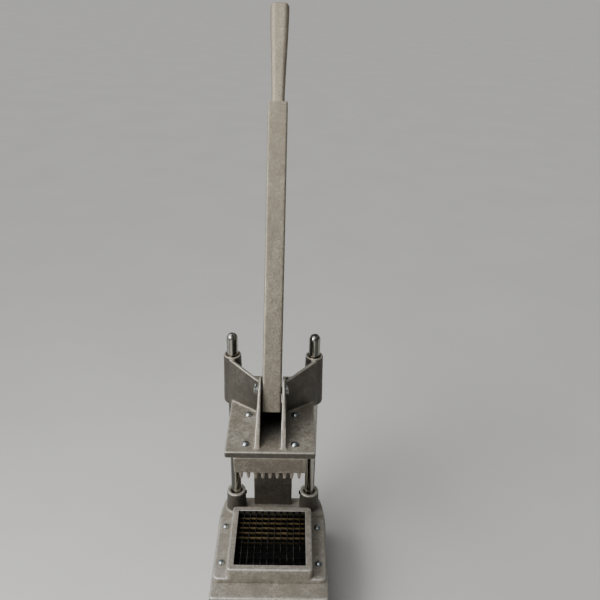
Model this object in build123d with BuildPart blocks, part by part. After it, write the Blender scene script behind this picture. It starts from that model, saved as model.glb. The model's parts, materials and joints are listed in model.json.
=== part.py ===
from build123d import *
import os
from math import cos, radians, sin

os.makedirs("parts", exist_ok=True)

# Lever-operated vegetable dicer. Row frame in millimetres: X to the right, Y to the back, Z up.
# The origin is on the table, under the centre of the square cutting opening.

# ---------------------------------------------------------------- driving dimensions
# Cutting opening and blades
opening = 101.6              # square opening, 4 inches
cells = 9                    # full cells across the opening
pitch = 9.525                # blade pitch, 3/8 inch
blade_thickness = 0.8
blade_height = 12.0
blade_length = 109.6
notch_width = 1.0            # half-lap notch where two blades cross

# Base casting
foot_height = 8.0            # rubber foot below the skirt
deck_top = 76.0              # top of the deck above the table
deck_half_width = 83.0
deck_front = -87.0
deck_rear = 108.0
deck_thickness = 9.0
skirt_wall = 7.0
skirt_draft = 2.0            # degrees
shoulder_start = 40.0        # where the sides start to curve in
deck_rear_half = 75.5

# Blade frame that stands on the deck
collar_rise = 26.0           # collar top above the deck
collar_width = 120.6
collar_corner = 5.5
flange_width = 161.0
flange_front = -60.5
flange_rear = 58.0
flange_thickness = 8.0
flange_corner = 9.0
pocket_width = 110.8         # pocket under the collar for the blade ring
ring_width = 110.4
ring_height = 20.0
frame_screw_x = 70.3
frame_screw_rows = (-32.2, 36.0)
screw_head_diameter = 10.5

# Guide rods, 5/8 inch, in bosses at the back of the deck
rod_diameter = 15.875
rod_x = 57.7
rod_y = 88.3
rod_bottom = 34.0
rod_top = 397.0
boss_diameter = 29.0
boss_rise = 35.0             # boss top above the deck
boss_mouth = 2.2             # countersunk mouth around the rod
boss_lower_diameter = 32.0
rod_fit = 0.02               # radial play of a rod in its boss
bush_running = 0.05          # radial running clearance of a bush on its rod
set_screw_radius = 3.0
set_screw_length = 8.5
set_screw_drop = 5.5         # below the boss top

# Head casting
stroke = 170.0
tube_bottom = 284.0
tube_top = 363.5
tube_top_diameter = 24.8
tube_bottom_diameter = 28.0
tube_bore = 19.4
plate_half_width = 58.5
plate_front = -47.8
plate_rear = 82.0
plate_top = 301.0
plate_thickness = 9.5
ear_root_inner = 13.3        # half the gap between the ears, at the plate
ear_root_outer = 21.1
ear_tip_inner = 14.2         # the same at the top, where the ears are thinner
ear_tip_outer = 17.4
ear_pad_outer = 19.2         # flat pad under each pivot washer
ear_front = -41.0
ear_boss_radius = 18.0
slot_front = 44.0            # front end of the slot that the lever's tail passes through
rear_web_top = 331.0
rear_web_thickness = 6.0

# Pusher block
block_top_width = 95.0
block_bottom_width = 93.5
block_bottom = 266.0
finger_length = 16.0
finger_root = 7.4
finger_tip = 3.6
pusher_screw_x = 32.0
pusher_screw_y = 31.0

# Lever, pivoted on the head
pivot_y = 30.0
pivot_z = 343.0
lever_lean = 34.0            # degrees behind the vertical at rest
lever_swing = 100.0          # degrees, forward
bar_low_width = 25.6
bar_high_width = 28.2
bar_depth = 25.0
bar_corner = 2.3
bar_below = 29.2             # bar end below the pivot, along the bar
bar_above = 402.0            # bar end above the pivot, along the bar
tail_width = 22.0
grip_length = 151.0
spigot_diameter = 14.0
spigot_length = 32.0
pivot_pin_diameter = 9.5
pivot_fit = 0.03
tail_pin_diameter = 14.0

# Rear bracket that guides the lever's tail pin
bracket_half_width = 30.0
cheek_thickness = 8.0
bracket_front = 90.5
web_thickness = 5.0
web_top = 216.0
cheek_top = 280.0
cheek_front = 88.2
cheek_rear = 160.0
slot_lift = 4.9              # room above and below the tail pin in the slot

# ---------------------------------------------------------------- worked-out places
collar_top = deck_top + collar_rise
blade_top = collar_top - 6.7
blade_bottom = blade_top - blade_height
ring_top = deck_top + ring_height
boss_top = deck_top + boss_rise
deck_under = deck_top - deck_thickness
plate_under = plate_top - plate_thickness
rod_radius = rod_diameter / 2
sides = (("left", -1), ("right", 1))

# The tail pin stands at one height when the head is up and when it is down.
tail_angle = lever_swing / 2                              # degrees below level at rest
tail_radius = stroke / 2 / sin(radians(tail_angle))
tail_y = pivot_y + tail_radius * cos(radians(tail_angle))
tail_z = pivot_z - stroke / 2
slot_reach = pivot_y + tail_radius - tail_y               # travel of the pin along the slot

lean = radians(lever_lean)
bar_direction = Vector(0, sin(lean), cos(lean))
pivot = Vector(0, pivot_y, pivot_z)


def save(builder, name):
    """Label a finished sub-part and write it as its own STEP file."""
    builder.part.label = name
    export_step(builder.part, f"parts/{name}.step")


def deck_outline(inset):
    """Plan of the deck: straight sides whose rear shoulders curve in to the back edge."""
    half, rear = deck_half_width - inset, deck_rear - inset
    rear_half = deck_rear_half - inset
    shoulder = ((half + rear_half) / 2 + 2.0, (shoulder_start + rear) / 2 + 8.0)
    with BuildSketch() as outline:
        with BuildLine():
            side = Line((half, deck_front + inset), (half, shoulder_start))
            curve = ThreePointArc(side @ 1, shoulder, (rear_half, rear))
            Line(curve @ 1, (0, rear))
            Line((0, deck_front + inset), side @ 0)
            mirror(about=Plane.YZ)
        make_face()
        fillet(outline.vertices().group_by(Axis.Y)[0].sort_by(Axis.X)[0], 5.0)
        fillet(outline.vertices().group_by(Axis.Y)[0].sort_by(Axis.X)[-1], 5.0)
    return outline.sketch


def along_bar(distance):
    """Plane across the lever bar at a distance from its pivot; local Y points to the back face."""
    return Plane(origin=pivot + bar_direction * distance, x_dir=(1, 0, 0), z_dir=bar_direction)


def dome_screw(head_seat, head_diameter, shank_diameter, shank_length):
    """A round-headed screw pointing down, its head resting at a height, on the Z axis."""
    head_radius, shank_radius = head_diameter / 2, shank_diameter / 2
    rim = 0.6                # straight rim below the dome
    head_top = head_seat + head_diameter * 0.36
    dome_rise = head_top - head_seat - rim
    dome_radius = (head_radius**2 + dome_rise**2) / (2 * dome_rise)
    tip = head_seat - shank_length
    with BuildPart(mode=Mode.PRIVATE) as screw:
        with BuildSketch(Plane.XZ):
            with BuildLine():
                RadiusArc((head_radius, head_seat + rim), (0, head_top), -dome_radius)
                Polyline(
                    (0, head_top), (0, tip), (shank_radius - 0.5, tip), (shank_radius, tip + 0.5),
                    (shank_radius, head_seat), (head_radius, head_seat), (head_radius, head_seat + rim),
                )
            make_face()
        revolve(axis=Axis.Z)
        with BuildSketch(Plane.XY.offset(head_top)):
            Rectangle(head_diameter * 0.5, 1.2)
            Rectangle(1.2, head_diameter * 0.5)
        extrude(amount=-head_diameter * 0.16, mode=Mode.SUBTRACT)
    return screw.part


# ---------------------------------------------------------------- base casting
front_pad_x, front_pad_y = 66.0, -70.0
arch_width, arch_height = 96.0, 40.0
bracket_bolt_x, bracket_bolt_y = 11.0, 101.5
bracket_bolt_radius = 3.0

with BuildPart() as base:
    with BuildSketch(Plane.XY.offset(deck_top)):
        add(deck_outline(0))
    extrude(amount=-(deck_top - foot_height), taper=-skirt_draft)
    fillet(base.faces().sort_by(Axis.Z)[-1].edges(), 2.5)
    with BuildSketch(Plane.XY.offset(deck_under)):
        add(deck_outline(skirt_wall))
    extrude(amount=-(deck_under - foot_height), taper=-skirt_draft, mode=Mode.SUBTRACT)
    # Rod bosses above and below the deck, front foot pads and the rib under the bracket
    for _, side in sides:
        with BuildSketch(Plane.XY.offset(foot_height)):
            with Locations((side * rod_x, rod_y)):
                Circle(boss_lower_diameter / 2)
            with Locations((side * front_pad_x, front_pad_y)):
                Circle(13.0)
        extrude(amount=deck_top - foot_height - 1.0)
        with BuildSketch(Plane.XY.offset(deck_top - 1.0)):
            with Locations((side * rod_x, rod_y)):
                Circle(boss_diameter / 2 + 1.0)
        extrude(amount=boss_rise + 1.0, taper=0.8)
        with BuildSketch(Plane.XY.offset(deck_under - 14.0)):
            with Locations(*[(side * frame_screw_x, row) for row in frame_screw_rows]):
                Circle(7.0)
        extrude(amount=15.0)
    with BuildSketch(Plane.XY.offset(deck_under - 14.0)):
        with Locations((0, deck_rear - 12.0)):
            Rectangle(2 * bracket_half_width + 8.0, 20.0)
    extrude(amount=15.0)
    # Square opening under the blades and the arch that cut pieces leave by
    with BuildSketch(Plane.XY.offset(deck_under - 1.0)):
        Rectangle(opening, opening)
    extrude(amount=deck_thickness + 2.0, mode=Mode.SUBTRACT)
    with BuildSketch(Plane.XZ.offset(-deck_front + 12.0)):
        with Locations((0, foot_height + arch_height / 2 - 10.0)):
            RectangleRounded(arch_width, arch_height + 20.0, 16.0)
    extrude(amount=-30.0, mode=Mode.SUBTRACT)
    # Rod bores with a countersunk mouth, set-screw, blade-frame, bracket and foot screw holes
    for _, side in sides:
        with BuildSketch(Plane.XY.offset(rod_bottom)):
            with Locations((side * rod_x, rod_y)):
                Circle(rod_radius + rod_fit)
        extrude(amount=boss_top - rod_bottom + 1.0, mode=Mode.SUBTRACT)
        with BuildSketch(Plane.XY.offset(boss_top)):
            with Locations((side * rod_x, rod_y)):
                Circle(rod_radius + boss_mouth)
        extrude(amount=-boss_mouth, taper=40.0, mode=Mode.SUBTRACT)
        with BuildSketch(Plane.YZ.offset(side * rod_x)):
            with Locations((rod_y, boss_top - set_screw_drop)):
                Circle(set_screw_radius)
        extrude(amount=-side * boss_diameter, mode=Mode.SUBTRACT)
        with BuildSketch(Plane.XY.offset(deck_top)):
            with Locations(*[(side * frame_screw_x, row) for row in frame_screw_rows]):
                Circle(2.5)
            with Locations((side * bracket_bolt_x, bracket_bolt_y)):
                Circle(bracket_bolt_radius)
        extrude(amount=-18.0, mode=Mode.SUBTRACT)
        with BuildSketch(Plane.XY.offset(foot_height)):
            with Locations((side * rod_x, rod_y), (side * front_pad_x, front_pad_y)):
                Circle(2.5)
        extrude(amount=14.0, mode=Mode.SUBTRACT)
save(base, "base")

# ---------------------------------------------------------------- blade frame and blades
with BuildPart() as blade_frame:
    with BuildSketch(Plane.XY.offset(deck_top)):
        with Locations((0, (flange_front + flange_rear) / 2)):
            RectangleRounded(flange_width, flange_rear - flange_front, flange_corner)
    extrude(amount=flange_thickness)
    fillet(blade_frame.faces().sort_by(Axis.Z)[-1].edges(), 2.0)
    with BuildSketch(Plane.XY.offset(deck_top)):
        RectangleRounded(collar_width, collar_width, collar_corner)
    extrude(amount=collar_rise)
    fillet(blade_frame.faces().sort_by(Axis.Z)[-1].edges(), 1.4)
    with BuildSketch(Plane.XY.offset(deck_top)):
        RectangleRounded(pocket_width, pocket_width, 1.5)
    extrude(amount=ring_height, mode=Mode.SUBTRACT)
    with BuildSketch(Plane.XY.offset(deck_top)):
        RectangleRounded(opening, opening, 1.0)
    extrude(amount=collar_rise + 1.0, mode=Mode.SUBTRACT)
    with BuildSketch(Plane.XY.offset(deck_top)):
        with Locations(*[(s * frame_screw_x, row) for _, s in sides for row in frame_screw_rows]):
            Circle(2.7)
    extrude(amount=flange_thickness + 1.0, mode=Mode.SUBTRACT)
save(blade_frame, "blade_frame")

blade_slot_depth = ring_top - blade_bottom
with BuildPart() as blade_ring:
    with BuildSketch(Plane.XY.offset(deck_top)):
        RectangleRounded(ring_width, ring_width, 1.2)
        Rectangle(opening, opening, mode=Mode.SUBTRACT)
    extrude(amount=ring_height)
    with BuildSketch(Plane.XY.offset(ring_top)):
        with GridLocations(pitch, 1, cells + 1, 1):
            Rectangle(blade_thickness, blade_length)
        with GridLocations(1, pitch, 1, cells + 1):
            Rectangle(blade_length, blade_thickness)
    extrude(amount=-blade_slot_depth, mode=Mode.SUBTRACT)
save(blade_ring, "blade_ring")

with BuildPart() as lengthwise_blades:
    with BuildSketch(Plane.XY.offset(blade_bottom)):
        with GridLocations(pitch, 1, cells + 1, 1):
            Rectangle(blade_thickness, blade_length)
    extrude(amount=blade_height)
    with BuildSketch(Plane.XY.offset(blade_bottom)):
        with GridLocations(1, pitch, 1, cells + 1):
            Rectangle(opening, notch_width)
    extrude(amount=blade_height / 2 + 0.1, mode=Mode.SUBTRACT)
save(lengthwise_blades, "lengthwise_blades")

with BuildPart() as crosswise_blades:
    with BuildSketch(Plane.XY.offset(blade_bottom)):
        with GridLocations(1, pitch, 1, cells + 1):
            Rectangle(blade_length, blade_thickness)
    extrude(amount=blade_height)
    with BuildSketch(Plane.XY.offset(blade_top)):
        with GridLocations(pitch, 1, cells + 1, 1):
            Rectangle(notch_width, opening)
    extrude(amount=-(blade_height / 2 + 0.1), mode=Mode.SUBTRACT)
save(crosswise_blades, "crosswise_blades")

frame_screw = dome_screw(deck_top + flange_thickness, screw_head_diameter, 5.0, 22.0)
with BuildPart() as frame_screws:
    with Locations(*[(s * frame_screw_x, row) for _, s in sides for row in frame_screw_rows]):
        add(frame_screw)
save(frame_screws, "frame_screws")

# ---------------------------------------------------------------- guide rods and set screws
for name, side in sides:
    with BuildPart() as guide_rod:
        with BuildSketch(Plane.XZ.offset(-rod_y)):
            with BuildLine():
                bottom = Polyline(
                    (side * rod_x, rod_top), (side * rod_x, rod_bottom),
                    (side * rod_x + rod_radius, rod_bottom),
                    (side * rod_x + rod_radius, rod_top - rod_radius),
                )
                RadiusArc(bottom @ 1, bottom @ 0, -rod_radius)
            make_face()
        revolve(axis=Axis((side * rod_x, rod_y, 0), (0, 0, 1)))
    save(guide_rod, f"guide_rod_{name}")

with BuildPart() as rod_set_screws:
    for _, side in sides:
        with BuildSketch(Plane.YZ.offset(side * (rod_x - rod_radius))):
            with Locations((rod_y, boss_top - set_screw_drop)):
                Circle(set_screw_radius)
        extrude(amount=-side * set_screw_length)
        with BuildSketch(Plane.YZ.offset(side * (rod_x - rod_radius - set_screw_length))):
            with Locations((rod_y, boss_top - set_screw_drop)):
                RegularPolygon(1.5, 6)
        extrude(amount=side * 3.0, mode=Mode.SUBTRACT)
save(rod_set_screws, "rod_set_screws")

# ---------------------------------------------------------------- feet
foot_places = {
    "front_left": (-front_pad_x, front_pad_y), "front_right": (front_pad_x, front_pad_y),
    "rear_left": (-rod_x, rod_y), "rear_right": (rod_x, rod_y),
}
foot_head_seat = 4.0         # underside of the screw head above the table
for name, place in foot_places.items():
    with BuildPart() as foot:
        with BuildSketch():
            with Locations(place):
                Circle(11.5)
        extrude(amount=foot_height, taper=-8.0)
        fillet(foot.faces().sort_by(Axis.Z)[0].edges(), 1.5)
        with BuildSketch():
            with Locations(place):
                Circle(5.2)
        extrude(amount=foot_head_seat, mode=Mode.SUBTRACT)
        with BuildSketch():
            with Locations(place):
                Circle(2.5)
        extrude(amount=foot_height, mode=Mode.SUBTRACT)
    save(foot, f"foot_{name}")

with BuildPart() as foot_screws:
    with BuildSketch(Plane.XY.offset(foot_head_seat)):
        with Locations(*foot_places.values()):
            Circle(4.6)
    extrude(amount=-3.0)
    with BuildSketch(Plane.XY.offset(foot_head_seat)):
        with Locations(*foot_places.values()):
            Circle(2.5)
    extrude(amount=16.0)
save(foot_screws, "foot_screws")

# ---------------------------------------------------------------- rear bracket
foot_plate_top = deck_top + 8.0
with BuildPart() as rear_bracket:
    for _, side in sides:
        with BuildSketch(Plane.YZ.offset(side * (bracket_half_width - cheek_thickness))) as cheek:
            with BuildLine():
                Polyline(
                    (bracket_front, deck_top), (deck_rear - 1.0, deck_top), (deck_rear - 1.0, 106.0),
                    (cheek_rear, 236.0), (cheek_rear, cheek_top), (cheek_front, cheek_top),
                    (cheek_front, 232.0), (bracket_front, 222.0), close=True,
                )
            make_face()
            fillet(cheek.vertices().filter_by_position(Axis.Y, 100.0, 300.0), 9.0)
            with Locations((tail_y + slot_reach / 2, tail_z)):
                SlotCenterToCenter(
                    slot_reach - 2 * slot_lift + 1.2, tail_pin_diameter + 2 * slot_lift,
                    mode=Mode.SUBTRACT,
                )
        extrude(amount=side * cheek_thickness)
    with BuildSketch(Plane.XY.offset(deck_top)):
        with Locations((0, bracket_front + web_thickness / 2)):
            Rectangle(2 * bracket_half_width, web_thickness)
    extrude(amount=web_top - deck_top)
    with BuildSketch(Plane.XY.offset(deck_top)):
        with Locations((0, (bracket_front + deck_rear - 1.0) / 2)):
            Rectangle(2 * bracket_half_width - cheek_thickness, deck_rear - 1.0 - bracket_front)
        with Locations(*[(s * bracket_bolt_x, bracket_bolt_y) for _, s in sides]):
            Circle(bracket_bolt_radius + 0.2, mode=Mode.SUBTRACT)
    extrude(amount=foot_plate_top - deck_top)
save(rear_bracket, "rear_bracket")

with BuildPart() as bracket_bolts:
    with BuildSketch(Plane.XY.offset(foot_plate_top)):
        with Locations(*[(s * bracket_bolt_x, bracket_bolt_y) for _, s in sides]):
            RegularPolygon(5.0, 6, major_radius=False)
    extrude(amount=4.0)
    with BuildSketch(Plane.XY.offset(foot_plate_top)):
        with Locations(*[(s * bracket_bolt_x, bracket_bolt_y) for _, s in sides]):
            Circle(bracket_bolt_radius)
    extrude(amount=-24.0)
save(bracket_bolts, "bracket_bolts")

# ---------------------------------------------------------------- head casting
ear_web_end = 16.2           # the webs end inside the ears
ear_top = pivot_z + ear_boss_radius


def web_profile(front_inner, front_outer, corner, back_outer, wall):
    """Plan of a front web: a straight wall from the ear out to a corner, then back to the tube."""
    return [
        (ear_web_end, front_inner), front_outer, corner, back_outer,
        (back_outer[0] - 7.0, back_outer[1] + 3.0), (corner[0] - wall, corner[1] + wall * 0.5),
        (front_outer[0] - 3.0, front_outer[1] + wall * 0.9), (ear_web_end, front_inner + wall * 1.2),
    ]


web_low = plate_under
web_high = tube_top - 3.0
web_wall = 5.0
web_foot = web_profile(33.2, (54.6, 59.0), (60.5, 64.5), (65.5, 79.0), web_wall)
web_crest = web_profile(36.0, (56.0, 70.6), (60.5, 75.0), (65.0, 79.5), web_wall)

with BuildPart() as ear:
    with BuildSketch(Plane.YZ):
        with Locations((pivot_y, pivot_z)):
            Circle(ear_boss_radius)
        Polygon(
            (ear_front, plate_top - 1.0), (plate_rear, plate_top - 1.0),
            (plate_rear, rear_web_top), (ear_front, plate_top + 0.5), align=None,
        )
        make_hull()
    extrude(amount=ear_root_outer + 1.0)
    # The ear is drafted on both faces, so it thins towards its top
    with BuildSketch(Plane.XZ.offset(-plate_rear - 1.0)):
        Polygon(
            (ear_root_inner, plate_top - 1.0), (ear_root_outer, plate_top - 1.0),
            (ear_tip_outer, ear_top + 1.0), (ear_tip_inner, ear_top + 1.0), align=None,
        )
    extrude(amount=plate_rear - ear_front + 2.0, mode=Mode.INTERSECT)
    with BuildSketch(Plane.YZ.offset(ear_web_end)):
        with Locations((pivot_y, pivot_z)):
            Circle(8.6)
    extrude(amount=ear_pad_outer - ear_web_end)

with BuildPart() as head_carriage:
    # Flat plate with softened edges
    with BuildSketch(Plane.XY.offset(plate_under)):
        with Locations((0, (plate_front + plate_rear) / 2)):
            RectangleRounded(2 * plate_half_width, plate_rear - plate_front, 2.5)
    extrude(amount=plate_thickness)
    fillet(head_carriage.faces().sort_by(Axis.Z)[-1].edges(), 1.5)
    for _, side in sides:
        # Guide tube, slightly tapered, with a rounded lower end
        with BuildSketch(Plane.XZ.offset(-rod_y)) as tube:
            with BuildLine():
                Polyline(
                    (side * rod_x, tube_bottom), (side * rod_x, tube_top),
                    (side * rod_x + tube_top_diameter / 2, tube_top),
                    (side * rod_x + tube_bottom_diameter / 2, tube_bottom), close=True,
                )
            make_face()
            fillet(tube.vertices().group_by(Axis.Y)[0].sort_by(Axis.X)[-1], 4.0)
            fillet(tube.vertices().group_by(Axis.Y)[-1].sort_by(Axis.X)[-1], 1.0)
        revolve(axis=Axis((side * rod_x, rod_y, 0), (0, 0, 1)))
        # Front web from the tube to the ear, cut along its sloping crest
        with BuildSketch(Plane.XY.offset(web_low)):
            Polygon(*[(side * x, y) for x, y in web_foot], align=None)
        with BuildSketch(Plane.XY.offset(web_high)):
            Polygon(*[(side * x, y) for x, y in web_crest], align=None)
        loft(ruled=True)
        # Low rear web from the ear to the tube
        with BuildSketch(Plane.XY.offset(plate_under)):
            with Locations((side * (ear_web_end + 52.0) / 2, plate_rear - rear_web_thickness / 2)):
                Rectangle(52.0 - ear_web_end, rear_web_thickness)
        extrude(amount=rear_web_top - plate_under)
    # The front webs' crests fall from the tubes to the ears
    for _, side in sides:
        with BuildSketch(Plane.XZ.offset(-plate_rear + rear_web_thickness)):
            Polygon(
                (side * (rod_x + 1.5), web_high + 1.0), (side * ear_root_inner, plate_top + 48.8),
                (side * ear_root_inner, web_high + 8.0), (side * (rod_x + 1.5), web_high + 8.0), align=None,
            )
        extrude(amount=plate_rear - rear_web_thickness - 20.0, mode=Mode.SUBTRACT)
    # Ears that carry the lever's pivot
    add(ear.part)
    mirror(ear.part, about=Plane.YZ)
    # Slot through the plate and the rear webs for the lever's tail
    with BuildSketch(Plane.XY.offset(plate_under)):
        with Locations((0, (slot_front + plate_rear + 10.0) / 2)):
            Rectangle(2 * ear_root_inner, plate_rear + 10.0 - slot_front)
    extrude(amount=rear_web_top - plate_under + 10.0, mode=Mode.SUBTRACT)
    # Bores: guide tubes, pivot and pusher screws
    for _, side in sides:
        with BuildSketch(Plane.XY.offset(tube_bottom)):
            with Locations((side * rod_x, rod_y)):
                Circle(tube_bore / 2)
        extrude(amount=tube_top - tube_bottom, mode=Mode.SUBTRACT)
    with BuildSketch(Plane.YZ.offset(-ear_pad_outer - 1.0)):
        with Locations((pivot_y, pivot_z)):
            Circle(pivot_pin_diameter / 2 + pivot_fit)
    extrude(amount=2 * ear_pad_outer + 2.0, mode=Mode.SUBTRACT)
    with BuildSketch(Plane.XY.offset(plate_under)):
        with GridLocations(2 * pusher_screw_x, 2 * pusher_screw_y, 2, 2):
            Circle(2.7)
    extrude(amount=plate_thickness, mode=Mode.SUBTRACT)
save(head_carriage, "head_carriage")

# ---------------------------------------------------------------- guide bushes
bush_length = 24.0
bush_recess = 1.0
bush_floors = {"lower": tube_bottom + 1.0, "upper": tube_top - bush_recess - bush_length}
for level, floor in bush_floors.items():
    for name, side in sides:
        with BuildPart() as bush:
            with BuildSketch(Plane.XY.offset(floor)):
                with Locations((side * rod_x, rod_y)):
                    Circle(tube_bore / 2)
                    Circle(rod_radius + bush_running, mode=Mode.SUBTRACT)
            extrude(amount=bush_length)
        save(bush, f"guide_bush_{level}_{name}")

# ---------------------------------------------------------------- pusher block
with BuildPart() as finger:
    with BuildSketch():
        RectangleRounded(finger_root, finger_root, 3.0)
    with BuildSketch(Plane.XY.offset(-finger_length)):
        RectangleRounded(finger_tip, finger_tip, 1.7)
    loft()
    fillet(finger.faces().sort_by(Axis.Z)[0].edges(), 1.2)

with BuildPart() as pusher_block:
    block_height = plate_under - block_bottom
    with BuildSketch(Plane.XY.offset(block_bottom)):
        RectangleRounded(block_bottom_width, block_bottom_width, 2.0)
    with BuildSketch(Plane.XY.offset(plate_under)):
        RectangleRounded(block_top_width, block_top_width, 2.0)
    loft()
    fillet(pusher_block.faces().sort_by(Axis.Z)[0].edges(), 1.5)
    with BuildSketch(Plane.XY.offset(plate_under)):
        RectangleRounded(block_top_width - 14.0, block_top_width - 14.0, 6.0)
        with GridLocations(2 * pusher_screw_x, 2 * pusher_screw_y, 2, 2):
            Circle(7.5, mode=Mode.SUBTRACT)
    extrude(amount=-(block_height - 8.0), mode=Mode.SUBTRACT)
    with Locations((0, 0, block_bottom + 0.2)):
        with GridLocations(pitch, pitch, cells, cells):
            add(finger.part)
    with BuildSketch(Plane.XY.offset(plate_under)):
        with GridLocations(2 * pusher_screw_x, 2 * pusher_screw_y, 2, 2):
            Circle(2.5)
    extrude(amount=-14.0, mode=Mode.SUBTRACT)
save(pusher_block, "pusher_block")

pusher_screw = dome_screw(plate_top, screw_head_diameter, 5.0, plate_thickness + 13.0)
with BuildPart() as pusher_screws:
    with GridLocations(2 * pusher_screw_x, 2 * pusher_screw_y, 2, 2):
        add(pusher_screw)
save(pusher_screws, "pusher_screws")

# ---------------------------------------------------------------- lever
side_plane = Plane(origin=(0, pivot_y, pivot_z), x_dir=bar_direction, z_dir=(1, 0, 0))
lever_bush_diameter = 14.0
tail_root_radius = 12.4
tail_end_radius = 13.0

with BuildPart() as lever:
    # Bar, a little wider at the top
    with BuildSketch(along_bar(-bar_below)):
        RectangleRounded(bar_low_width, bar_depth, bar_corner)
    with BuildSketch(along_bar(bar_above)):
        RectangleRounded(bar_high_width, bar_depth, bar_corner)
    loft()
    fillet(lever.faces().sort_by(Axis.Z)[-1].edges(), 1.2)
    with BuildSketch(Plane.YZ.offset(-tail_width / 2)):
        with Locations((pivot_y, pivot_z)):
            Circle(tail_root_radius)
        with Locations((tail_y, tail_z)):
            Circle(tail_end_radius)
        make_hull()
    extrude(amount=tail_width)
    with BuildSketch(Plane.YZ.offset(-bar_high_width / 2)):
        with Locations((pivot_y, pivot_z)):
            Circle(lever_bush_diameter / 2)
        with Locations((tail_y, tail_z)):
            Circle(tail_pin_diameter / 2)
    extrude(amount=bar_high_width, mode=Mode.SUBTRACT)
    with BuildSketch(along_bar(bar_above)):
        Circle(spigot_diameter / 2)
    extrude(amount=-(spigot_length + 2.0), mode=Mode.SUBTRACT)
    with BuildSketch(side_plane.offset(-bar_high_width / 2)):
        with Locations((bar_above - 16.0, 0)):
            Circle(2.5)
    extrude(amount=bar_high_width, mode=Mode.SUBTRACT)
save(lever, "lever")

with BuildPart() as lever_bush:
    with BuildSketch(Plane.YZ.offset(-bar_low_width / 2)):
        with Locations((pivot_y, pivot_z)):
            Circle(lever_bush_diameter / 2)
            Circle(pivot_pin_diameter / 2 + bush_running, mode=Mode.SUBTRACT)
    extrude(amount=bar_low_width)
save(lever_bush, "lever_bush")

# Handle grip: width, depth and corner radius at distances above its shoulder
grip_sections = ((0.0, 18.6, 16.0, 5.0), (30.0, 19.8, 16.6, 5.4), (90.0, 24.6, 18.6, 6.6),
                 (grip_length, 27.6, 20.0, 7.6))
with BuildPart() as handle_grip:
    for rise, width, depth, corner in grip_sections:
        with BuildSketch(along_bar(bar_above + rise)):
            RectangleRounded(width, depth, corner)
    loft()
    fillet(handle_grip.faces().sort_by(Axis.Z)[-1].edges(), 6.5)
    # Low rim where the grip meets the bar
    with BuildSketch(along_bar(bar_above)):
        RectangleRounded(20.4, 17.8, 6.0)
    extrude(amount=1.8, taper=30.0)
    with BuildSketch(along_bar(bar_above)):
        Circle(spigot_diameter / 2)
    extrude(amount=-spigot_length)
    with BuildSketch(side_plane.offset(-bar_high_width / 2)):
        with Locations((bar_above - 16.0, 0)):
            Circle(2.5)
    extrude(amount=bar_high_width, mode=Mode.SUBTRACT)
save(handle_grip, "handle_grip")

with BuildPart() as grip_pin:
    with BuildSketch(side_plane.offset(-bar_low_width / 2)):
        with Locations((bar_above - 16.0, 0)):
            Circle(2.5)
    extrude(amount=bar_low_width)
save(grip_pin, "grip_pin")

# ---------------------------------------------------------------- pivot pin and its washers
washer_thickness = 1.2
pin_head_thickness = 2.0
pin_seat = ear_pad_outer + washer_thickness
cotter_x = -(pin_seat + 1.9)
pin_left_end = cotter_x - 2.6
cotter_wire = 1.1            # radius
cotter_eye_wire = 0.9        # radius of the wire in the eye

with BuildPart() as pivot_pin:
    with BuildSketch(Plane.YZ.offset(pin_left_end)):
        with Locations((pivot_y, pivot_z)):
            Circle(pivot_pin_diameter / 2)
    extrude(amount=pin_seat - pin_left_end)
    chamfer(pivot_pin.faces().sort_by(Axis.X)[0].edges(), 0.8)
    with BuildSketch(Plane.YZ.offset(pin_seat)):
        with Locations((pivot_y, pivot_z)):
            Circle(6.6)
    extrude(amount=pin_head_thickness)
    fillet(pivot_pin.faces().sort_by(Axis.X)[-1].edges(), 1.2)
    with BuildSketch(Plane.XY.offset(pivot_z - pivot_pin_diameter)):
        with Locations((cotter_x, pivot_y)):
            Circle(cotter_wire)
    extrude(amount=2 * pivot_pin_diameter, mode=Mode.SUBTRACT)
save(pivot_pin, "pivot_pin")

with BuildPart() as pivot_washers:
    for _, side in sides:
        with BuildSketch(Plane.YZ.offset(side * ear_pad_outer)):
            with Locations((pivot_y, pivot_z)):
                Circle(7.6)
                Circle(pivot_pin_diameter / 2 + pivot_fit, mode=Mode.SUBTRACT)
        extrude(amount=side * washer_thickness)
save(pivot_washers, "pivot_washers")


def split_pin(x, y, z, reach):
    """A split pin standing upright through a pin's cross hole, with its eye on top."""
    eye_radius = 2.4
    eye_z = z + reach + eye_radius - 1.1
    with BuildPart(mode=Mode.PRIVATE) as pin:
        with BuildSketch(Plane.XY.offset(z - reach)):
            with Locations((x, y)):
                Circle(cotter_wire)
        extrude(amount=2 * reach)
        with BuildSketch(Plane.XY.offset(eye_z)):
            with Locations((x, y + eye_radius)):
                Circle(cotter_eye_wire)
        revolve(axis=Axis((x, y, eye_z), (1, 0, 0)))
    return pin.part


with BuildPart() as pivot_cotter:
    add(split_pin(cotter_x, pivot_y, pivot_z, 6.4))
save(pivot_cotter, "pivot_cotter")

# ---------------------------------------------------------------- tail pin and its retainers
tail_gap = 0.5               # side play between washer and cheek
tail_washer_x = bracket_half_width + tail_gap
tail_cotter_x = tail_washer_x + washer_thickness + 2.2
tail_pin_half = tail_cotter_x + 3.2

with BuildPart() as tail_pin:
    with BuildSketch(Plane.YZ.offset(-tail_pin_half)):
        with Locations((tail_y, tail_z)):
            Circle(tail_pin_diameter / 2)
    extrude(amount=2 * tail_pin_half)
    chamfer(tail_pin.faces().sort_by(Axis.X)[0].edges(), 1.0)
    chamfer(tail_pin.faces().sort_by(Axis.X)[-1].edges(), 1.0)
    with BuildSketch(Plane.XY.offset(tail_z - tail_pin_diameter)):
        with Locations((tail_cotter_x, tail_y), (-tail_cotter_x, tail_y)):
            Circle(cotter_wire)
    extrude(amount=2 * tail_pin_diameter, mode=Mode.SUBTRACT)
save(tail_pin, "tail_pin")

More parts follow.
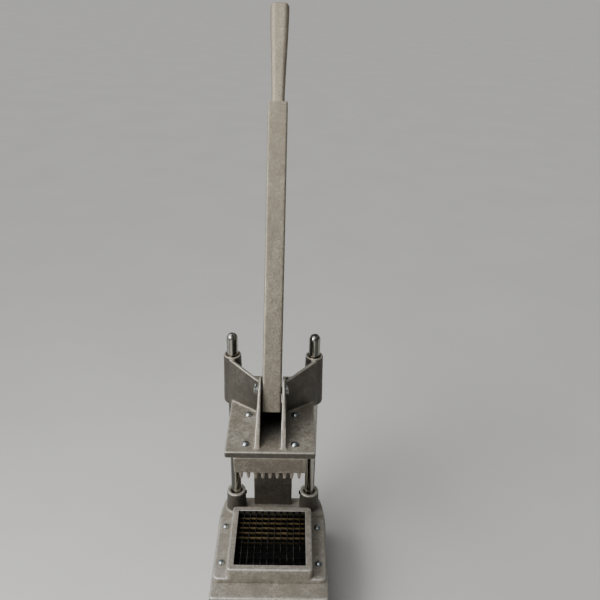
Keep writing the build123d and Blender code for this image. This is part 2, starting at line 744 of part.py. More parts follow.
with BuildPart() as tail_washers:
    for _, side in sides:
        with BuildSketch(Plane.YZ.offset(side * tail_washer_x)):
            with Locations((tail_y, tail_z)):
                Circle(14.0)
                Circle(tail_pin_diameter / 2, mode=Mode.SUBTRACT)
        extrude(amount=side * washer_thickness)
save(tail_washers, "tail_washers")

with BuildPart() as tail_spacers:
    for _, side in sides:
        with BuildSketch(Plane.YZ.offset(side * tail_width / 2)):
            with Locations((tail_y, tail_z)):
                Circle(10.0)
                Circle(tail_pin_diameter / 2, mode=Mode.SUBTRACT)
        extrude(amount=side * (bracket_half_width - cheek_thickness - tail_gap - tail_width / 2))
save(tail_spacers, "tail_spacers")

with BuildPart() as tail_cotters:
    for _, side in sides:
        add(split_pin(side * tail_cotter_x, tail_y, tail_z, tail_pin_diameter / 2 + 2.0))
save(tail_cotters, "tail_cotters")
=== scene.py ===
"""Looks of the lever-operated vegetable dicer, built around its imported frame."""

import json
import logging
import math
from dataclasses import dataclass, field
from enum import Enum

import bmesh
import bpy
from mathutils import Matrix, Vector, noise

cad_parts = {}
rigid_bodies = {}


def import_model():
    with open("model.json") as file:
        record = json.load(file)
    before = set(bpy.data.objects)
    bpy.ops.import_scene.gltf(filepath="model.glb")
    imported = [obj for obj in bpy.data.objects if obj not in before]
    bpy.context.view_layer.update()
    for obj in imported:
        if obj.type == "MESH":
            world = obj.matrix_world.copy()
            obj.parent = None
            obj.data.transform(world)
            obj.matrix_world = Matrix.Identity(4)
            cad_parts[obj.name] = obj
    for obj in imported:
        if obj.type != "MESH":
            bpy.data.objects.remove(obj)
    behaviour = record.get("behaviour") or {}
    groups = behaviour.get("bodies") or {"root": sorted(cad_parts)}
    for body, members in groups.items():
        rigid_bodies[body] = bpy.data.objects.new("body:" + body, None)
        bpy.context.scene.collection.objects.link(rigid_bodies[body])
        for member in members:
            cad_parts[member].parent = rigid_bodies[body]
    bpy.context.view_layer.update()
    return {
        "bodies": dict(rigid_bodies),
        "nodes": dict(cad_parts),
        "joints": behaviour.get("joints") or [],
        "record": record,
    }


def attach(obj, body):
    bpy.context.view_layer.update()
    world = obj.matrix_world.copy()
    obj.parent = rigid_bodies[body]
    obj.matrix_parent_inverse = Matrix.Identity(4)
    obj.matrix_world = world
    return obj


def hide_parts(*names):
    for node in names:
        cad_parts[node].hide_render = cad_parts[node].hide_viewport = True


MM = 0.001
BLADE_PITCH = 9.525 * MM
FRAME_SCREWS = ((70.3 * MM, -32.2 * MM), (70.3 * MM, 36.0 * MM))
HEAD_SCREWS = ((32.0 * MM, -31.0 * MM), (32.0 * MM, 31.0 * MM))
Colour = tuple[float, float, float]
LOG = logging.getLogger("vegetable_dicer")


def shade(colour: Colour, factor: float) -> Colour:
    """A colour made darker or lighter by one factor."""
    return tuple(part * factor for part in colour)


class Slot(Enum):
    """Material slots of the record that the new pieces take their finish from."""

    CAST = "cast_aluminium"
    LEVER = "lever_aluminium"
    BRACKET = "bracket_casting"


class NodeGraph:
    """The shader nodes of one material, with short calls to add and join them."""

    def __init__(self, name: str) -> None:
        """Start a material with only its Principled shader and output.

        Args:
            name: Name of the new material.
        """
        self.material = bpy.data.materials.new(name)
        self.material.use_nodes = True
        self.tree = self.material.node_tree
        self.shader = self.tree.nodes["Principled BSDF"]
        self.texture = self.add("ShaderNodeTexCoord")
        self.place = self.texture.outputs["Object"]
        axes = self.add("ShaderNodeSeparateXYZ")
        self.join(self.place, axes.inputs["Vector"])
        self.x, self.y, self.z = axes.outputs

    def facing_up(self) -> bpy.types.NodeSocket:
        """How far the surface faces up, from the Z part of its normal."""
        split = self.add("ShaderNodeSeparateXYZ")
        self.join(self.texture.outputs["Normal"], split.inputs["Vector"])
        return split.outputs["Z"]

    def add(self, kind: str, **settings: object) -> bpy.types.Node:
        """Add a node and set its properties.

        Args:
            kind: Blender's node type name.
            settings: Property values of the node.

        Returns:
            The new node.
        """
        node = self.tree.nodes.new(kind)
        for key, value in settings.items():
            setattr(node, key, value)
        return node

    def join(self, source: bpy.types.NodeSocket, target: bpy.types.NodeSocket) -> None:
        """Link one socket to another."""
        self.tree.links.new(source, target)

    def shader_values(self, **values: object) -> None:
        """Set constant values on the shader's own sockets, given with underscores for spaces."""
        for key, value in values.items():
            self.shader.inputs[key.replace("_", " ")].default_value = value

    def stretched(self, scale: Colour, turn: Colour = (0.0, 0.0, 0.0)) -> bpy.types.NodeSocket:
        """Object coordinates stretched along the axes, as drawn or rolled metal has them.

        Args:
            scale: Factors along X, Y and Z.
            turn: Rotation of the pattern in radians.

        Returns:
            The socket with the mapped coordinates.
        """
        mapping = self.add("ShaderNodeMapping")
        mapping.inputs["Scale"].default_value = scale
        mapping.inputs["Rotation"].default_value = turn
        self.join(self.place, mapping.inputs["Vector"])
        return mapping.outputs["Vector"]

    def noise(self, size: float, detail: float = 2.0, rough: float = 0.5,
              at: bpy.types.NodeSocket | None = None) -> bpy.types.NodeSocket:
        """A noise whose lumps are about one size across.

        Args:
            size: Size of the lumps in metres.
            detail: Octaves of finer noise.
            rough: Strength of the finer octaves.
            at: Coordinates, the object's own when left out.

        Returns:
            The socket with the noise value.
        """
        node = self.add("ShaderNodeTexNoise")
        node.inputs["Scale"].default_value = 1.0 / size
        node.inputs["Detail"].default_value = detail
        node.inputs["Roughness"].default_value = rough
        self.join(at or self.place, node.inputs["Vector"])
        return node.outputs["Fac"]

    def pits(self, spacing: float, radius: float) -> bpy.types.NodeSocket:
        """Scattered round pits, 1 in a pit and 0 outside.

        Args:
            spacing: Mean distance between the cells that may hold a pit, in metres.
            radius: Radius of a pit as a share of the spacing.

        Returns:
            The socket with the pit mask.
        """
        cells = self.add("ShaderNodeTexVoronoi")
        cells.inputs["Scale"].default_value = 1.0 / spacing
        self.join(self.place, cells.inputs["Vector"])
        return self.ramp(cells.outputs["Distance"], ((radius * 0.35, 1.0), (radius, 0.0)))

    def ramp(self, value: bpy.types.NodeSocket,
             stops: tuple[tuple[float, float | Colour], ...]) -> bpy.types.NodeSocket:
        """A colour ramp through grey levels or colours.

        Args:
            value: Socket that drives the ramp.
            stops: Positions and their grey level or colour.

        Returns:
            The ramp's colour socket.
        """
        node = self.add("ShaderNodeValToRGB")
        elements = node.color_ramp.elements
        while len(elements) < len(stops):
            elements.new(0.5)
        for element, (position, level) in zip(elements, stops):
            element.position = position
            element.color = (*level, 1.0) if isinstance(level, tuple) else (level,) * 3 + (1.0,)
        self.join(value, node.inputs["Fac"])
        return node.outputs["Color"]

    def maths(self, operation: str, first: bpy.types.NodeSocket,
              second: bpy.types.NodeSocket | float = 0.0) -> bpy.types.NodeSocket:
        """One sum on a value.

        Args:
            operation: Blender's name of the operation.
            first: Left-hand socket.
            second: Right-hand socket or number, unused by sums on one value.

        Returns:
            The socket with the result.
        """
        node = self.add("ShaderNodeMath", operation=operation)
        self.join(first, node.inputs[0])
        if isinstance(second, float):
            node.inputs[1].default_value = second
        else:
            self.join(second, node.inputs[1])
        return node.outputs[0]

    def span(self, value: bpy.types.NodeSocket, low: float, high: float) -> bpy.types.NodeSocket:
        """Stretch a value so that it is 0 at one end of a span and 1 at the other.

        Args:
            value: Socket with the value.
            low: Value that becomes 0.
            high: Value that becomes 1.

        Returns:
            The socket with the stretched value.
        """
        return self.maths("MULTIPLY", self.maths("SUBTRACT", value, low), 1.0 / (high - low))

    def inside(self, value: bpy.types.NodeSocket, half: float) -> bpy.types.NodeSocket:
        """1 where a value lies within a distance of zero, and 0 outside."""
        return self.maths("LESS_THAN", self.maths("ABSOLUTE", value), half)

    def product(self, *values: bpy.types.NodeSocket | float) -> bpy.types.NodeSocket:
        """Multiply several values.

        Args:
            values: The factors, the first of them a socket.

        Returns:
            The socket with the product.
        """
        result = values[0]
        for value in values[1:]:
            result = self.maths("MULTIPLY", result, value)
        return result

    def mix(self, amount: bpy.types.NodeSocket | float, first: bpy.types.NodeSocket | Colour,
            second: bpy.types.NodeSocket | Colour, blend: str = "MIX") -> bpy.types.NodeSocket:
        """Mix two colours.

        Args:
            amount: How much of the second colour shows.
            first: Colour or socket at amount 0.
            second: Colour or socket at amount 1.
            blend: Blender's name of the blend.

        Returns:
            The socket with the mixed colour.
        """
        node = self.add("ShaderNodeMix", data_type="RGBA", blend_type=blend)
        if isinstance(amount, float):
            node.inputs["Factor"].default_value = amount
        else:
            self.join(amount, node.inputs["Factor"])
        for name, side in (("A", first), ("B", second)):
            socket = next(s for s in node.inputs if s.name == name and s.type == "RGBA")
            if isinstance(side, tuple):
                socket.default_value = (*side, 1.0)
            else:
                self.join(side, socket)
        return next(s for s in node.outputs if s.type == "RGBA")

    def relief(self, layers: tuple[tuple[bpy.types.NodeSocket, float], ...]) -> None:
        """Stack bump layers on the shader's normal.

        Args:
            layers: Height sockets and the depth in metres of each.
        """
        normal = None
        for height, depth in layers:
            bump = self.add("ShaderNodeBump")
            bump.inputs["Strength"].default_value = 1.0
            bump.inputs["Distance"].default_value = depth
            self.join(height, bump.inputs["Height"])
            if normal is not None:
                self.join(normal, bump.inputs["Normal"])
            normal = bump.outputs["Normal"]
        self.join(normal, self.shader.inputs["Normal"])


@dataclass(frozen=True)
class CastFinish:
    """Tumbled, well-used cast aluminium: grainy skin, brown-grey stain, pits, edges lightened partly by
    rubbing and partly as a painted highlight, and painted shade on faces that don't look up.
    """

    name: str
    light: Colour
    dark: Colour
    stain: Colour
    metallic: float = 0.62
    rough: tuple[float, float] = (0.40, 0.62)
    rubbed_rough: Colour = (0.30, 0.30, 0.30)
    cloud_size: float = 26.0 * MM
    stain_size: float = 60.0 * MM
    blotch_size: float = 7.5 * MM
    speckle_size: float = 2.8 * MM
    speckle_depth: float = 0.20 * MM
    lump_size: float = 9.0 * MM
    lump_depth: float = 0.40 * MM
    grain_size: float = 0.9 * MM
    grain_depth: float = 0.26 * MM
    pit_spacing: float = 7.0 * MM
    pit_radius_share: float = 0.12
    pit_depth: float = 0.25 * MM
    streak: Colour = (1.0, 1.0, 1.0)
    # How much lighter edges get: partly rubbed wear, partly a painted highlight.
    rub_and_highlight: float = 1.75
    brightest: float = 0.85
    # Painted shade: how dark faces that don't look up become; the base's skirt below its top gets a milder
    # factor.
    side_shade: float = 0.62
    skirt_side_shade: float = 0.0
    skirt_top: float = 70.0 * MM
    # Screw heads that get a painted shadow ring, and the ring's radius.
    screws: tuple[tuple[float, float], ...] = ()
    screw_ring: float = 6.2 * MM
    # Half width of the blade well, whose walls get painted shade.
    well_half: float = 0.0
    # Painted shade in the gap between the ears, with its half width, top and depth span below.
    shaded_gap: bool = False
    gap_half: float = 15.0 * MM
    gap_top: float = 318.0 * MM
    gap_depth: tuple[float, float] = (-40.0 * MM, 22.0 * MM)
    # Lever colour ramped by height: darker towards the bottom, lighter towards the grip.
    height_ramp: bool = False
    lever_reach: float = 900.0 * MM

    def make(self) -> bpy.types.Material:
        """Build the finish.

        Returns:
            The new material.
        """
        g = NodeGraph(self.name)
        g.shader_values(Metallic=self.metallic)
        cloud = g.noise(self.cloud_size, 5.0, 0.65, g.stretched(self.streak))
        blotch = g.noise(self.blotch_size, 5.0, 0.7, g.stretched(self.streak))
        stain = g.noise(self.stain_size, 4.0, 0.62)
        grain = g.noise(self.grain_size, 3.0, 0.62)
        speckle = g.noise(self.speckle_size, 3.0, 0.7)
        lumps = g.noise(self.lump_size, 2.0)
        pits = g.pits(self.pit_spacing, self.pit_radius_share)
        tone = g.mix(g.ramp(cloud, ((0.38, 0.0), (0.62, 1.0))), self.dark, self.light)
        tone = g.mix(g.ramp(stain, ((0.48, 0.0), (0.70, 0.8))), tone, self.stain)
        tone = g.mix(g.ramp(blotch, ((0.47, 0.0), (0.62, 0.8))), tone, self.dark)
        tone = g.mix(g.ramp(speckle, ((0.38, 0.75), (0.56, 0.0))), tone, shade(self.dark, 0.75))
        tone = g.mix(g.product(pits, 0.7), tone, shade(self.dark, 0.3))
        # Edges lighter: partly rubbed wear, partly a painted highlight.
        edges = g.ramp(g.add("ShaderNodeNewGeometry").outputs["Pointiness"], ((0.508, 0.0), (0.565, 0.85)))
        edges = g.product(edges, g.ramp(blotch, ((0.30, 1.0), (0.75, 0.45))))
        tone = g.mix(edges, tone, tuple(min(c, self.brightest) for c in shade(self.light, self.rub_and_highlight)))
        tone = self.paint_side_shade(g, tone)
        if self.screws:
            tone = self.paint_screw_shadows(g, tone)
        if self.well_half:
            tone = self.paint_well_shade(g, tone)
        if self.shaded_gap:
            tone = self.paint_gap_shade(g, tone)
        if self.height_ramp:
            tone = self.lighten_towards_grip(g, tone)
        g.join(tone, g.shader.inputs["Base Color"])
        low, high = self.rough
        matt = g.ramp(speckle, ((0.3, low), (0.7, high)))
        g.join(g.mix(edges, matt, self.rubbed_rough), g.shader.inputs["Roughness"])
        g.relief(((grain, self.grain_depth), (speckle, self.speckle_depth), (lumps, self.lump_depth),
                  (pits, -self.pit_depth)))
        return g.material

    def paint_side_shade(self, g: NodeGraph, tone: bpy.types.NodeSocket) -> bpy.types.NodeSocket:
        """Paint shade on the faces that don't look up, as if the light came from above.

        Args:
            g: Graph of the material.
            tone: Socket with the colour so far.

        Returns:
            The socket with the darkened colour.
        """
        facing_up = g.facing_up()
        # Painted shade on faces that don't look up.
        up = g.ramp(facing_up, ((0.05, self.side_shade), (0.75, 1.0)))
        if self.skirt_side_shade:
            skirt = g.ramp(facing_up, ((0.05, self.skirt_side_shade), (0.75, 1.0)))
            up = g.mix(g.maths("LESS_THAN", g.z, self.skirt_top), up, skirt)
        return g.mix(1.0, tone, up, "MULTIPLY")

    def paint_screw_shadows(self, g: NodeGraph, tone: bpy.types.NodeSocket) -> bpy.types.NodeSocket:
        """Paint a ring of shadow round each screw head, where the head shades the casting.

        Args:
            g: Graph of the material.
            tone: Socket with the colour so far.

        Returns:
            The socket with the darkened colour.
        """
        across = g.maths("ABSOLUTE", g.x)
        for side, along in self.screws:
            reach = g.maths("ADD", g.maths("POWER", g.maths("SUBTRACT", across, side), 2.0),
                            g.maths("POWER", g.maths("ABSOLUTE", g.maths("SUBTRACT", g.y, along)), 2.0))
            ring = g.span(g.maths("SQRT", reach), 0.0, self.screw_ring)
            tone = g.mix(g.ramp(ring, ((0.80, 0.85), (1.0, 0.0))), tone, shade(self.dark, 0.35))
        return tone

    def paint_well_shade(self, g: NodeGraph, tone: bpy.types.NodeSocket) -> bpy.types.NodeSocket:
        """Paint shade on the walls round the blades, darker still beside each blade.

        Args:
            g: Graph of the material.
            tone: Socket with the colour so far.

        Returns:
            The socket with the darkened colour.
        """
        within = g.product(g.inside(g.x, self.well_half), g.inside(g.y, self.well_half))
        wave = g.maths("COSINE", g.maths("MULTIPLY", g.x, 2.0 * math.pi / BLADE_PITCH))
        wall = g.ramp(g.span(wave, -1.0, 1.0), ((0.15, (0.012, 0.011, 0.009)), (0.50, (0.11, 0.10, 0.08))))
        return g.mix(within, tone, wall)

    def lighten_towards_grip(self, g: NodeGraph, tone: bpy.types.NodeSocket) -> bpy.types.NodeSocket:
        """Make the lever darker towards its lower end and lighter towards its grip.

        Args:
            g: Graph of the material.
            tone: Socket with the colour so far.

        Returns:
            The socket with the changed colour.
        """
        height = g.span(g.z, 0.0, self.lever_reach)
        height_tone = g.ramp(height, ((0.38, 0.48), (0.60, 0.70), (0.72, 0.86), (0.84, 1.0)))
        return g.mix(1.0, tone, height_tone, "MULTIPLY")

    def paint_gap_shade(self, g: NodeGraph, tone: bpy.types.NodeSocket) -> bpy.types.NodeSocket:
        """Paint near-black shade into the gap between the ears, darker towards its back.

        Args:
            g: Graph of the material.
            tone: Socket with the colour so far.

        Returns:
            The socket with the blackened colour.
        """
        back = g.ramp(g.span(g.y, *self.gap_depth), ((0.0, 0.0), (0.35, 0.45), (1.0, 0.96)))
        low = g.maths("LESS_THAN", g.z, self.gap_top)
        return g.mix(g.product(g.inside(g.x, self.gap_half), low, back), tone, (0.014, 0.013, 0.012))


@dataclass(frozen=True)
class SteelFinish:
    """Steel that is drawn, ground or polished, with fine lines, dirt, and dark streaks along one direction
    that are painted reflections.
    """

    name: str
    colour: Colour
    rough: tuple[float, float] = (0.12, 0.24)
    lines: Colour = (1.0, 1.0, 0.05)
    line_depth: float = 0.01 * MM
    grime_and_dark_reflection: Colour = (0.10, 0.085, 0.06)
    grime_share: float = 0.3
    streak_share: float = 0.0
    metallic: float = 1.0

    def make(self) -> bpy.types.Material:
        """Build the finish.

        Returns:
            The new material.
        """
        g = NodeGraph(self.name)
        g.shader_values(Metallic=self.metallic)
        along = g.stretched(self.lines)
        lines = g.noise(0.5 * MM, 2.0, 0.6, along)
        smear = g.noise(14 * MM, 4.0, 0.6)
        dirt = g.ramp(smear, ((0.52, 0.0), (0.75, self.grime_share)))
        tone = g.mix(dirt, self.colour, self.grime_and_dark_reflection)
        # Painted reflection: dark streaks in the dirt colour, as if dark surroundings were mirrored along
        # the steel.
        streaks = g.ramp(g.noise(5.0 * MM, 2.0, 0.5, along), ((0.47, 0.0), (0.55, self.streak_share)))
        g.join(g.mix(streaks, tone, self.grime_and_dark_reflection), g.shader.inputs["Base Color"])
        low, high = self.rough
        g.join(g.ramp(smear, ((0.3, low), (0.7, high))), g.shader.inputs["Roughness"])
        g.relief(((lines, self.line_depth), (smear, 0.02 * MM)))
        return g.material


@dataclass(frozen=True)
class BladeFinish:
    """Thin strip steel with painted light: near-black painted shade, and painted brown reflections on the
    upper edges of its rear stretch.
    """

    name: str
    # Near-black painted shade, then the brown of the painted reflection and the band it covers.
    painted_dark: Colour = (0.003, 0.003, 0.003)
    brown: Colour = (0.21, 0.155, 0.075)
    edge_sheen: Colour = (0.014, 0.014, 0.013)
    stretch: tuple[float, float] = (-8.0 * MM, 50.0 * MM)
    brown_band: tuple[float, float] = (91.0 * MM, 93.5 * MM)

    def make(self) -> bpy.types.Material:
        """Build the finish.

        Returns:
            The new material.
        """
        g = NodeGraph(self.name)
        g.shader_values(Metallic=0.0, Specular_IOR_Level=0.10)
        # Painted reflection: brown on the upper band of the rear blades; the rest is near-black painted
        # shade.
        behind = g.ramp(g.span(g.y, *self.stretch), ((0.05, 0.18), (0.12, 0.18), (0.20, 1.0), (0.85, 1.0)))
        behind = g.product(behind, g.maths("GREATER_THAN", g.y, self.stretch[0]))
        upper = g.ramp(g.span(g.z, *self.brown_band), ((0.0, 0.0), (1.0, 1.0)))
        middle = g.ramp(g.span(g.maths("ABSOLUTE", g.x), 0.0, 60.0 * MM), ((0.45, 1.0), (0.85, 0.45)))
        patchy = g.ramp(g.noise(9 * MM, 4.0, 0.6), ((0.32, 0.25), (0.60, 1.0)))
        tone = g.mix(g.product(behind, upper, middle, patchy), self.painted_dark, self.brown)
        # Painted sheen on patches of the up-facing top edges.
        edge = g.product(g.maths("GREATER_THAN", g.facing_up(), 0.7),
                         g.ramp(g.noise(12 * MM, 3.0), ((0.40, 0.0), (0.65, 1.0))))
        g.join(g.mix(edge, tone, self.edge_sheen), g.shader.inputs["Base Color"])
        g.join(g.ramp(patchy, ((0.2, 0.28), (0.8, 0.42))), g.shader.inputs["Roughness"])
        return g.material


@dataclass(frozen=True)
class RubberFinish:
    """Matt moulded rubber with a fine grain and a dusty bloom."""

    name: str
    colour: Colour
    bloom: Colour

    def make(self) -> bpy.types.Material:
        """Build the finish.

        Returns:
            The new material.
        """
        g = NodeGraph(self.name)
        g.shader_values(Roughness=0.78, Specular_IOR_Level=0.3)
        dust = g.ramp(g.noise(8 * MM, 4.0, 0.6), ((0.45, 0.0), (0.75, 0.6)))
        g.join(g.mix(dust, self.colour, self.bloom), g.shader.inputs["Base Color"])
        g.relief(((g.noise(0.4 * MM, 2.0), 0.05 * MM),))
        return g.material


def clean_copy(node: str, frame: dict) -> bpy.types.Mesh:
    """Welded copy of a frame node's mesh.

    Args:
        node: Name of the frame node.
        frame: The loaded frame.

    Returns:
        A new mesh whose triangles share their corners.
    """
    mesh = frame["nodes"][node].data.copy()
    mesh.name = f"{node}_skin"
    bm = bmesh.new()
    bm.from_mesh(mesh)
    bmesh.ops.remove_doubles(bm, verts=bm.verts, dist=0.005 * MM)
    bm.to_mesh(mesh)
    bm.free()
    mesh.materials.clear()
    return mesh


@dataclass
class Casting:
    """One casting re-skinned from its frame node, so that its corners soften and its faces waver."""

    node: str
    body: str
    slot: Slot
    voxel: float = 1.0 * MM
    relax: int = 6
    waver: float = 0.10 * MM
    waver_size: float = 16 * MM

    def build(self, frame: dict) -> bpy.types.Object:
        """Make the piece, dress it and seat it on its body.

        Args:
            frame: The loaded frame.

        Returns:
            The finished piece.
        """
        piece = bpy.data.objects.new(f"{self.node}_casting", clean_copy(self.node, frame))
        bpy.context.scene.collection.objects.link(piece)
        shell = piece.modifiers.new("skin", "REMESH")
        shell.mode = "VOXEL"
        shell.voxel_size = self.voxel
        shell.adaptivity = 0.0
        bpy.context.view_layer.update()
        skin = bpy.data.meshes.new_from_object(piece.evaluated_get(bpy.context.evaluated_depsgraph_get()))
        piece.modifiers.clear()
        piece.data = self.relaxed(skin)
        piece.data.materials.append(frame["nodes"][self.node].data.materials[0])
        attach(piece, self.body)
        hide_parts(self.node)
        LOG.info("%s: %d faces", piece.name, len(piece.data.polygons))
        return piece

    def relaxed(self, mesh: bpy.types.Mesh) -> bpy.types.Mesh:
        """Soften the skin's corners and let its faces waver slightly.

        Args:
            mesh: The fresh skin.

        Returns:
            The same mesh, smoothed.
        """
        bm = bmesh.new()
        bm.from_mesh(mesh)
        for _ in range(self.relax):
            bmesh.ops.smooth_vert(bm, verts=bm.verts, factor=0.5,
                                  use_axis_x=True, use_axis_y=True, use_axis_z=True)
        bm.normal_update()
        for vert in bm.verts:
            sway = noise.noise(vert.co / self.waver_size) * self.waver
            vert.co += vert.normal * min(sway, 0.0)
        bm.to_mesh(mesh)
        bm.free()
        mesh.polygons.foreach_set("use_smooth", [True] * len(mesh.polygons))
        mesh.update()
        return mesh


@dataclass
class Camera:
    """Camera that looks down on the dicer from in front, a little to the right."""

    place: Vector = field(default_factory=lambda: Vector((23.09, -701.18, 858.06)) * MM)
    pitch: float = 27.31
    yaw: float = 0.902
    roll: float = 1.436
    lens: float = 39.42

    def build(self) -> None:
        """Make the camera and set it as the scene's own."""
        data = bpy.data.cameras.new("front_camera")
        data.lens = self.lens
        data.sensor_width = 36.0
        data.clip_start = 0.01
        camera = bpy.data.objects.new("front_camera", data)
        turn = (Matrix.Rotation(math.radians(-self.yaw), 4, "Z")
                @ Matrix.Rotation(math.radians(90.0 - self.pitch), 4, "X")
                @ Matrix.Rotation(math.radians(self.roll), 4, "Z"))
        camera.matrix_world = Matrix.Translation(self.place) @ turn
        bpy.context.scene.collection.objects.link(camera)
        bpy.context.scene.camera = camera


@dataclass
class Studio:
    """Plain pale floor, a soft sun from the upper left and a sky that is brighter on the left."""

    floor_half: float = 60.0
    floor_colour: Colour = (0.70, 0.69, 0.665)
    floor_cloud: float = 250.0 * MM
    sky: Colour = (0.84, 0.85, 0.86)
    sky_strength: float = 0.32
    sky_slope: float = 0.86
    sun_towards: Colour = (-0.75, -0.28, 1.0)
    sun_strength: float = 1.60
    sun_spread: float = 70.0
    key_place: Colour = (-0.60, -0.42, 0.78)
    key_aim: Colour = (0.0, 0.0, 0.25)
    key_size: float = 0.40
    key_power: float = 5.5

    def build(self) -> None:
        """Make the floor, the sky and the lights."""
        self.floor()
        self.world()
        self.sun()
        self.key_light()

    def floor(self) -> None:
        """Lay the floor plane."""
        bm = bmesh.new()
        bmesh.ops.create_grid(bm, x_segments=1, y_segments=1, size=self.floor_half)
        mesh = bpy.data.meshes.new("studio_floor")
        bm.to_mesh(mesh)
        bm.free()
        floor = bpy.data.objects.new("studio_floor", mesh)
        g = NodeGraph("studio_floor")
        g.shader_values(Roughness=0.8, Specular_IOR_Level=0.2)
        cloud = g.noise(self.floor_cloud, 3.0)
        colour = g.ramp(cloud, ((0.3, self.floor_colour), (0.7, shade(self.floor_colour, 0.95))))
        g.join(colour, g.shader.inputs["Base Color"])
        mesh.materials.append(g.material)
        bpy.context.scene.collection.objects.link(floor)

    def world(self) -> None:
        """Make a sky whose strength falls from left to right."""
        world = bpy.data.worlds.new("studio_sky")
        world.use_nodes = True
        tree = world.node_tree
        direction = tree.nodes.new("ShaderNodeTexCoord").outputs["Generated"]
        split = tree.nodes.new("ShaderNodeSeparateXYZ")
        slope = tree.nodes.new("ShaderNodeMath")
        slope.operation = "MULTIPLY_ADD"
        slope.inputs[1].default_value = -self.sky_slope * self.sky_strength
        slope.inputs[2].default_value = self.sky_strength
        back = tree.nodes["Background"]
        back.inputs["Color"].default_value = (*self.sky, 1.0)
        tree.links.new(direction, split.inputs["Vector"])
        tree.links.new(split.outputs["X"], slope.inputs[0])
        tree.links.new(slope.outputs[0], back.inputs["Strength"])
        bpy.context.scene.world = world

    def sun(self) -> None:
        """Add the soft sun, whose spread is its angular width in degrees."""
        data = bpy.data.lights.new("window_sun", "SUN")
        data.energy = self.sun_strength
        data.angle = math.radians(self.sun_spread)
        lamp = bpy.data.objects.new("window_sun", data)
        lamp.matrix_world = (-Vector(self.sun_towards)).to_track_quat("-Z", "Y").to_matrix().to_4x4()
        bpy.context.scene.collection.objects.link(lamp)

    def key_light(self) -> None:
        """Add one square soft light aimed at the dicer's middle."""
        data = bpy.data.lights.new("key_light", "AREA")
        data.size = self.key_size
        data.energy = self.key_power
        lamp = bpy.data.objects.new("key_light", data)
        place = Vector(self.key_place)
        turn = (Vector(self.key_aim) - place).to_track_quat("-Z", "Y").to_matrix().to_4x4()
        lamp.matrix_world = Matrix.Translation(place) @ turn
        bpy.context.scene.collection.objects.link(lamp)


def dress(frame: dict, finishes: dict[str, bpy.types.Material]) -> None:
    """Give every frame node its own finish, or that of its record slot.

    Args:
        frame: The loaded frame.
        finishes: Material for each record slot and for the nodes that differ from their slot.
    """
    slots = {part["node"]: part["material_slot"] for part in frame["record"]["subparts"]}
    for name, node in frame["nodes"].items():
        node.data.materials.clear()
        node.data.materials.append(finishes.get(name, finishes[slots[name]]))
        LOG.info("%s wears %s", name, node.data.materials[0].name)


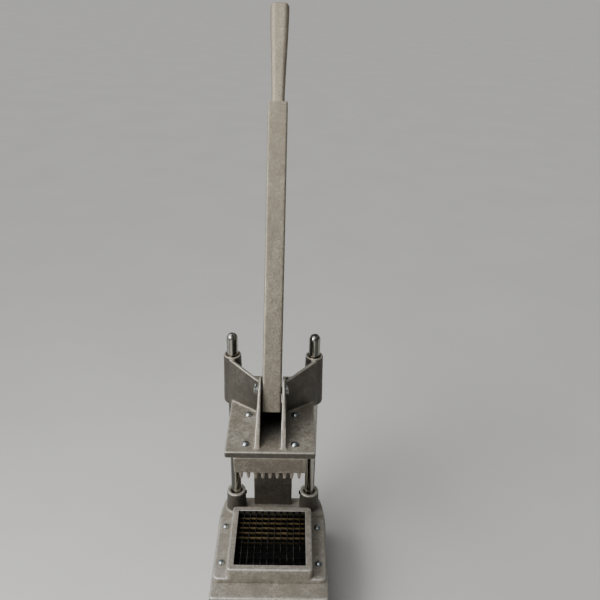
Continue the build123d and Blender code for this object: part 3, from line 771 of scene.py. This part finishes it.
def make_finishes() -> dict[str, bpy.types.Material]:
    """Build every finish once.

    Returns:
        Material for each record slot, and for each node that differs from its slot.
    """
    looks = {
        "cast_aluminium": CastFinish("cast_skin", (0.44, 0.405, 0.345), (0.25, 0.225, 0.185),
                                     (0.33, 0.285, 0.22)),
        "base": CastFinish("base_skin", (0.54, 0.50, 0.43), (0.34, 0.31, 0.26), (0.42, 0.365, 0.29),
                           side_shade=0.26, skirt_side_shade=0.55),
        "blade_frame": CastFinish("frame_skin", (0.58, 0.54, 0.47), (0.38, 0.345, 0.29),
                                  (0.48, 0.425, 0.345), side_shade=0.88, well_half=51.1 * MM,
                                  screws=FRAME_SCREWS),
        "head_carriage": CastFinish("head_skin", (0.50, 0.465, 0.40), (0.30, 0.27, 0.22),
                                    (0.38, 0.33, 0.26), side_shade=0.28, shaded_gap=True,
                                    screws=HEAD_SCREWS),
        "pusher_block": CastFinish("pusher_skin", (0.36, 0.325, 0.27), (0.20, 0.175, 0.14),
                                   (0.25, 0.205, 0.15), side_shade=0.85, rub_and_highlight=1.5),
        "lever_aluminium": CastFinish("lever_skin", (0.69, 0.615, 0.475), (0.48, 0.42, 0.32),
                                      (0.56, 0.475, 0.355), streak=(1.0, 1.0, 0.35), pit_spacing=6.0 * MM,
                                      rub_and_highlight=1.35, side_shade=0.62, height_ramp=True),
        "handle_grip": CastFinish("grip_skin", (0.75, 0.665, 0.515), (0.59, 0.515, 0.395),
                                  (0.64, 0.55, 0.415), streak=(1.0, 1.0, 0.35), pit_spacing=6.0 * MM,
                                  rub_and_highlight=1.25, side_shade=0.50),
        # Bracket colours far darker than the other castings: painted shade, for the shade it stands in
        # behind the head.
        "bracket_casting": CastFinish("bracket_shaded_skin", (0.16, 0.142, 0.118), (0.10, 0.088, 0.072),
                                      (0.125, 0.106, 0.085), side_shade=0.9),
        "stainless_blades": BladeFinish("blade_steel"),
        "lengthwise_blades": BladeFinish("dark_blade_steel", brown=(0.02, 0.016, 0.01),
                                         edge_sheen=(0.05, 0.05, 0.047)),
        "blade_ring": BladeFinish("dark_ring_steel", brown=(0.06, 0.05, 0.035)),
        "polished_steel": SteelFinish("polished_rod", (0.415, 0.41, 0.365), lines=(1.0, 1.0, 0.02),
                                      grime_and_dark_reflection=(0.05, 0.052, 0.045), streak_share=0.85),
        "pivot_pin": SteelFinish("dull_pin", (0.34, 0.34, 0.32), (0.25, 0.4)),
        "screw_steel": SteelFinish("zinc_screw", (0.42, 0.455, 0.455), (0.16, 0.30), (1.0, 1.0, 1.0)),
        "dark_steel": SteelFinish("black_oxide", (0.02, 0.018, 0.016), (0.35, 0.5), (1.0, 1.0, 1.0)),
        "bronze_bush": SteelFinish("bronze", (0.22, 0.18, 0.13), (0.35, 0.5), (1.0, 1.0, 1.0)),
        "foot_rubber": RubberFinish("foot_rubber_skin", (0.025, 0.025, 0.025), (0.12, 0.115, 0.105)),
    }
    return {name: look.make() for name, look in looks.items()}


def main() -> None:
    """Build the dicer's looks around its frame."""
    logging.basicConfig(level=logging.INFO, format="%(message)s")
    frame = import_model()
    Camera().build()
    Studio().build()
    finishes = make_finishes()
    dress(frame, finishes)
    castings = (
        Casting("base", "frame", Slot.CAST, voxel=1.5 * MM, relax=4),
        Casting("blade_frame", "frame", Slot.CAST, relax=3),
        Casting("head_carriage", "head", Slot.CAST, voxel=1.05 * MM, relax=3),
        Casting("pusher_block", "head", Slot.CAST, voxel=0.9 * MM, relax=2),
        Casting("lever", "lever", Slot.LEVER, voxel=0.95 * MM, relax=2),
        Casting("handle_grip", "lever", Slot.LEVER, voxel=0.8 * MM, relax=4),
        Casting("rear_bracket", "frame", Slot.BRACKET, voxel=1.2 * MM, relax=4),
    )
    for casting in castings:
        casting.build(frame)


if __name__ == "__main__":
    main()
